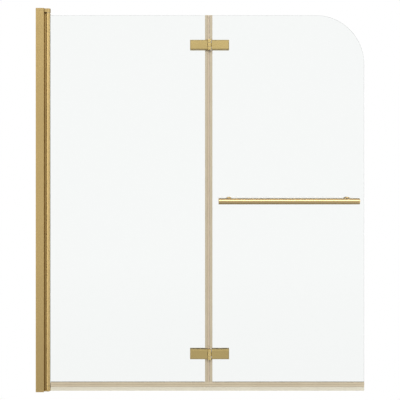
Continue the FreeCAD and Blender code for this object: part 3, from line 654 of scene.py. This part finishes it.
def rounded(corners):
    """Points of an outline from (along, out, round) corners, with an arc at each rounded one."""
    points = []
    for i, (along, out, radius) in enumerate(corners):
        here = Vector((along, out))
        if radius == 0:
            points.append(here)
            continue
        back = (Vector(corners[i - 1][:2]) - here).normalized()
        ahead = (Vector(corners[(i + 1) % len(corners)][:2]) - here).normalized()
        half = back.angle(ahead) / 2
        centre = here + (back + ahead).normalized() * (radius / math.sin(half))
        first = here + back * (radius / math.tan(half)) - centre
        last = here + ahead * (radius / math.tan(half)) - centre
        turn = first.angle_signed(last)
        for step in range(ARC_STEPS + 1):
            spoke = first.copy()
            spoke.rotate(Matrix.Rotation(-turn * step / ARC_STEPS, 2))
            points.append(centre + spoke)
    return points


def turned(bm, corners, foot, axis):
    """Adds a solid of revolution whose outline starts and ends on the axis."""
    side = axis.orthogonal().normalized()
    across = axis.cross(side)
    rings = []
    for along, out in rounded(corners):
        middle = foot + axis * along
        if out < ON_AXIS:
            rings.append([bm.verts.new(middle)])
            continue
        ring = []
        for step in range(ROUND_STEPS):
            angle = 2 * math.pi * step / ROUND_STEPS
            ring.append(bm.verts.new(middle + (side * math.cos(angle) + across * math.sin(angle)) * out))
        rings.append(ring)
    for low, high in zip(rings, rings[1:]):
        for step in range(ROUND_STEPS):
            after = (step + 1) % ROUND_STEPS
            face = [low[step % len(low)], low[after % len(low)]]
            face += [high[after % len(high)], high[step % len(high)]]
            bm.faces.new(list(dict.fromkeys(face)))


def domed(depth, radius):
    """Outline corners of a shallow dome, from its crown on the axis out to its rim."""
    shares = [step / DOME_STEPS for step in range(DOME_STEPS + 1)]
    return [(depth * share ** 2, radius * share, 0) for share in shares]


def mirrored_ends(corners, length):
    """Outline of a turned piece with the same end on both sides."""
    return corners + [(length - along, out, radius) for along, out, radius in reversed(corners)]


def towel_bar():
    """Tube with a slightly domed cap and a fine joint line at each end."""
    tube_low, tube_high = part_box("towel_bar_tube")
    cap_low, cap_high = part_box("bar_end_caps")
    radius = (tube_high[2] - tube_low[2]) / 2
    cap = tube_low[0] - cap_low[0]
    foot = Vector((cap_low[0], (tube_low[1] + tube_high[1]) / 2, (tube_low[2] + tube_high[2]) / 2))
    edge_break = CAP_ROUND * CAP_BREAK_SHARE
    end = domed(CAP_DOME, radius - CAP_ROUND)
    end += [(CAP_DOME + edge_break, radius - edge_break, 0), (CAP_DOME + CAP_ROUND, radius, 0)]
    end += [(cap - JOINT_LINE, radius, 0), (cap - JOINT_LINE, radius - JOINT_DEPTH, 0)]
    end += [(cap + JOINT_LINE, radius - JOINT_DEPTH, 0), (cap + JOINT_LINE, radius, 0)]
    bm = bmesh.new()
    turned(bm, mirrored_ends(end, cap_high[0] - cap_low[0]), foot, Vector((1, 0, 0)))
    finish_piece("towel_bar", bm, "towel_bar_tube", 0, ["bar_end_caps"])


def towel_bar_fixings():
    """Roses, collared standoffs, back flanges and domed covers of the towel bar."""
    rose_low, rose_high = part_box("bar_roses")
    radius = (rose_high[2] - rose_low[2]) / 2
    places = [rose_low[0] + radius, rose_high[0] - radius]
    height = (rose_low[2] + rose_high[2]) / 2
    rose_front, rose_foot = rose_low[1], rose_high[1]
    stem_low, stem_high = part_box("bar_standoffs")
    stem_radius = (stem_high[2] - stem_low[2]) / 2
    flange_low, flange_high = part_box("back_flanges")
    flange_foot, flange_face = flange_low[1], flange_high[1]
    cover_low, cover_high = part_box("back_cover_caps")
    cover_radius = (cover_high[2] - cover_low[2]) / 2
    thick = rose_foot - rose_front
    rose = [
        (0, 0, 0),
        (0, radius, EDGE_BREAK),
        (thick - ROSE_STEP, radius, ROSE_ROUND),
        (thick - ROSE_STEP, radius * ROSE_STEP_SHARE, EDGE_BREAK),
        (thick, radius * ROSE_STEP_SHARE, EDGE_BREAK),
        (thick, 0, 0),
    ]
    reach = rose_front - stem_low[1]
    stem = [
        (0, 0, 0),
        (0, stem_radius + COLLAR_RISE, 0),
        (COLLAR_LENGTH, stem_radius + COLLAR_RISE, EDGE_BREAK),
        (COLLAR_LENGTH, stem_radius, COLLAR_FILLET),
        (reach, stem_radius, 0),
        (reach, 0, 0),
    ]
    thick = flange_face - flange_foot
    flange = [(0, 0, 0), (0, radius, EDGE_BREAK), (thick, radius, ROSE_ROUND), (thick, 0, 0)]
    rise = cover_high[1] - cover_low[1]
    crown = domed(rise * COVER_CROWN_SHARE, cover_radius)
    cover = [(0, 0, 0), (0, cover_radius, EDGE_BREAK)]
    cover += [(rise - along, out, 0) for along, out, _ in reversed(crown)]
    for name, node, outline, foot, way in (
        ("towel_bar_roses", "bar_roses", rose, rose_foot, -1),
        ("towel_bar_stems", "bar_standoffs", stem, rose_front, -1),
        ("towel_bar_flanges", "back_flanges", flange, flange_foot, 1),
        ("towel_bar_covers", "back_cover_caps", cover, cover_low[1], 1),
    ):
        bm = bmesh.new()
        for place in places:
            turned(bm, outline, Vector((place, foot, height)), Vector((0, way, 0)))
        finish_piece(name, bm, node)


def dress_nodes():
    """Gives each of the frame's own solids its finish."""
    for node, obj in NODES.items():
        obj.data.materials.clear()
        obj.data.materials.append(finish_for(node))


def ray_kinds(graph):
    """Shares of rays that come off a mirroring surface, and of those seen straight or through glass."""
    path = graph.add("ShaderNodeLightPath").outputs
    bounced = graph.math("MINIMUM", path["Glossy Depth"], 1.0)
    mirrored = graph.math("SUBTRACT", bounced, path["Is Diffuse Ray"], True)
    seen = graph.math("MAXIMUM", path["Is Camera Ray"], path["Is Transmission Ray"])
    return mirrored, graph.math("SUBTRACT", seen, mirrored, True)


def right_side(graph, way):
    """How far a direction points to the dim side of the studio, right and a little to the front."""
    across = graph.spread(graph.part(way, "X"), *RIGHT_SIDE_ACROSS)
    return graph.math("MULTIPLY", across, graph.spread(graph.part(way, "Y"), *RIGHT_SIDE_FRONT, 1.0, 0.0))


def make_floor():
    """Pale floor that fades to white away from the screen, and is dimmer in a mirroring surface."""
    left, right = CAMERA_X - FLOOR_REACH, CAMERA_X + FLOOR_REACH
    corners = [(left, -FLOOR_REACH), (right, -FLOOR_REACH), (right, FLOOR_REACH), (left, FLOOR_REACH)]
    mesh = bpy.data.meshes.new("floor")
    mesh.from_pydata([(x, y, FLOOR_Z) for x, y in corners], [], [(0, 1, 2, 3)])
    material, graph, shader, position = start_material("floor_paint")
    second_tone = FLOOR_TONE * FLOOR_DRIFT
    drift = graph.group(
        DRIFT,
        {
            "Position": position,
            "Tone": (FLOOR_TONE, FLOOR_TONE, FLOOR_TONE, 1),
            "Second tone": (second_tone, second_tone, second_tone, 1),
            "Patch scale": FLOOR_PATCHES,
            "Mottle scale": FLOOR_MOTTLE,
        },
    )
    mirrored, seen = ray_kinds(graph)
    centre = (CAMERA_X, 0, FLOOR_Z)
    away = graph.vector_math("DISTANCE", position, centre)["Value"]
    glow = graph.math("MULTIPLY", seen, graph.math("MAXIMUM", graph.spread(away, *FLOOR_FADE), FLOOR_GLOW))
    offset = graph.vector_math("SUBTRACT", position, centre)["Vector"]
    way = graph.vector_math("NORMALIZE", offset)["Vector"]
    dim = graph.math("MULTIPLY", right_side(graph, way), graph.spread(away, *RIGHT_FLOOR_FADE))
    near = graph.spread(away, *NEAR_FLOOR_FADE, NEAR_FLOOR_SHINE, 1.0)
    under = graph.spread(away, *UNDER_FLOOR_FADE, UNDER_FLOOR_SHINE, 1.0)
    shine = graph.math("MULTIPLY", near, under)
    shine = graph.math("MULTIPLY", shine, graph.spread(dim, 0.0, 1.0, 1.0, RIGHT_FLOOR_SHINE))
    lit_share = graph.math("SUBTRACT", graph.math("SUBTRACT", 1.0, mirrored), glow, True)
    graph.feed(shader.inputs["Base Color"], graph.mix_colour(lit_share, BLACK, drift["Colour"]))
    shader.inputs["Emission Color"].default_value = WHITE
    shine = graph.math("MAXIMUM", graph.math("MULTIPLY", mirrored, shine), glow)
    graph.feed(shader.inputs["Emission Strength"], shine)
    shader.inputs["Roughness"].default_value = FLOOR_ROUGHNESS
    shader.inputs["Specular IOR Level"].default_value = 0.0
    mesh.materials.append(material)
    link(bpy.data.objects.new("floor", mesh))


def make_world():
    """White round the screen, a darker ceiling and right side in mirroring surfaces, light from above."""
    world = bpy.data.worlds.new("studio")
    bpy.context.scene.world = world
    world.use_nodes = True
    world.node_tree.nodes.clear()
    graph = Graph(world.node_tree)
    way = graph.add("ShaderNodeTexCoord").outputs["Generated"]
    up = graph.part(way, "Z")
    mirrored, seen = ray_kinds(graph)
    behind = graph.spread(graph.part(way, "Y"), *CEILING_BACK)
    ceiling = graph.math("MULTIPLY", graph.spread(up, *CEILING_RISE), behind)
    dim = graph.math("MULTIPLY", graph.math("MAXIMUM", ceiling, right_side(graph, way)), mirrored)
    overhead = graph.grey(graph.spread(up, *ZENITH_RISE, 1.0, ZENITH_SHINE))
    backdrop = graph.mix_colour(dim, overhead, (CEILING_SHINE, CEILING_SHINE, CEILING_SHINE, 1))
    light = graph.grey(graph.spread(up, *LIGHT_RISE, LOW_LIGHT, HIGH_LIGHT))
    shown = graph.math("MAXIMUM", seen, mirrored)
    background = graph.add("ShaderNodeBackground", {"Color": graph.mix_colour(shown, light, backdrop)})
    output = graph.add("ShaderNodeOutputWorld")
    graph.feed(output.inputs["Surface"], background.outputs[0])


def softbox(name, place, aim, width, height, radiance, lights_matt=True):
    """Rectangular lamp of an even radiance; without lights_matt it only shows in glossy surfaces."""
    lamp = bpy.data.lights.new(name, "AREA")
    lamp.shape = "RECTANGLE"
    lamp.size = width
    lamp.size_y = height
    lamp.energy = radiance * math.pi * width * height
    obj = link(bpy.data.objects.new(name, lamp))
    obj.location = place
    obj.rotation_euler = (Vector(aim) - Vector(place)).to_track_quat("-Z", "Y").to_euler()
    obj.visible_diffuse = lights_matt


def make_lamps():
    """A softbox high in front, and a tall card at each side for the metal to mirror."""
    softbox(
        "front_softbox",
        place=(CAMERA_X, -6.1, 6.2),
        aim=(CAMERA_X, 0, 0.7),
        width=7.0,
        height=2.6,
        radiance=5.0,
    )
    softbox(
        "right_card",
        place=(CAMERA_X + 2.3, -2.35, 0.6),
        aim=(CAMERA_X, 0, 0.6),
        width=1.5,
        height=4.6,
        radiance=1.7,
        lights_matt=False,
    )
    softbox(
        "left_card",
        place=(CAMERA_X - 2.54, -1.78, 0.6),
        aim=(CAMERA_X, 0, 0.6),
        width=1.3,
        height=4.6,
        radiance=1.8,
        lights_matt=False,
    )


make_camera()
make_world()
make_floor()
make_lamps()
dress_nodes()
for node in SOFTENED:
    softened(node)
for node in FINE_PARTS:
    softened(node, FINE_EDGE)
towel_bar()
towel_bar_fixings()
bpy.context.scene.view_settings.view_transform = "Standard"
